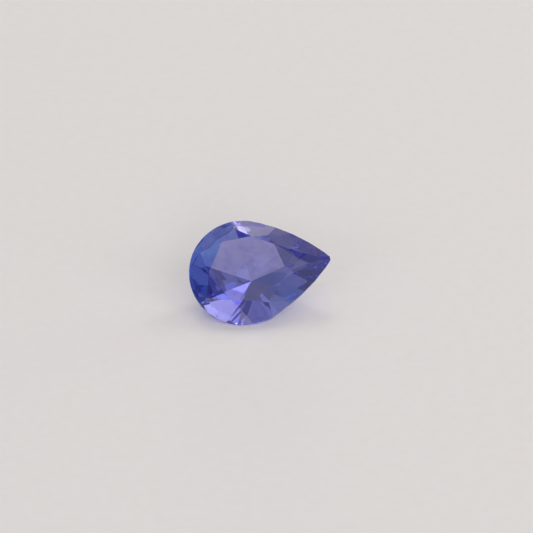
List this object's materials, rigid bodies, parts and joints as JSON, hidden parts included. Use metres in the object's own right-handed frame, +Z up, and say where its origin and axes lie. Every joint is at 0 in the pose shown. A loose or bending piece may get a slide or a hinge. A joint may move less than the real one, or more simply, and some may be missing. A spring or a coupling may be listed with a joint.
{
  "type": "pear-cut tanzanite gemstone",
  "caption": "Loose pear-cut violet-blue gemstone with a flat table, a faceted crown and a deep pavilion, lying on one pavilion facet.",
  "frame": {"origin": "centre of the stone's bounding box, on the surface it lies on", "axes": "+Z up from the resting facet, +X along the stone towards its pointed end, and the table's outward normal leans towards -Y"},
  "size_m": [0.0072, 0.0042, 0.0037],
  "materials": {
    "tanzanite": "clear violet-blue crystal, polished facets"
  },
  "bodies": {
    "root": {"pear_tanzanite": "tanzanite"}
  },
  "joints": []
}
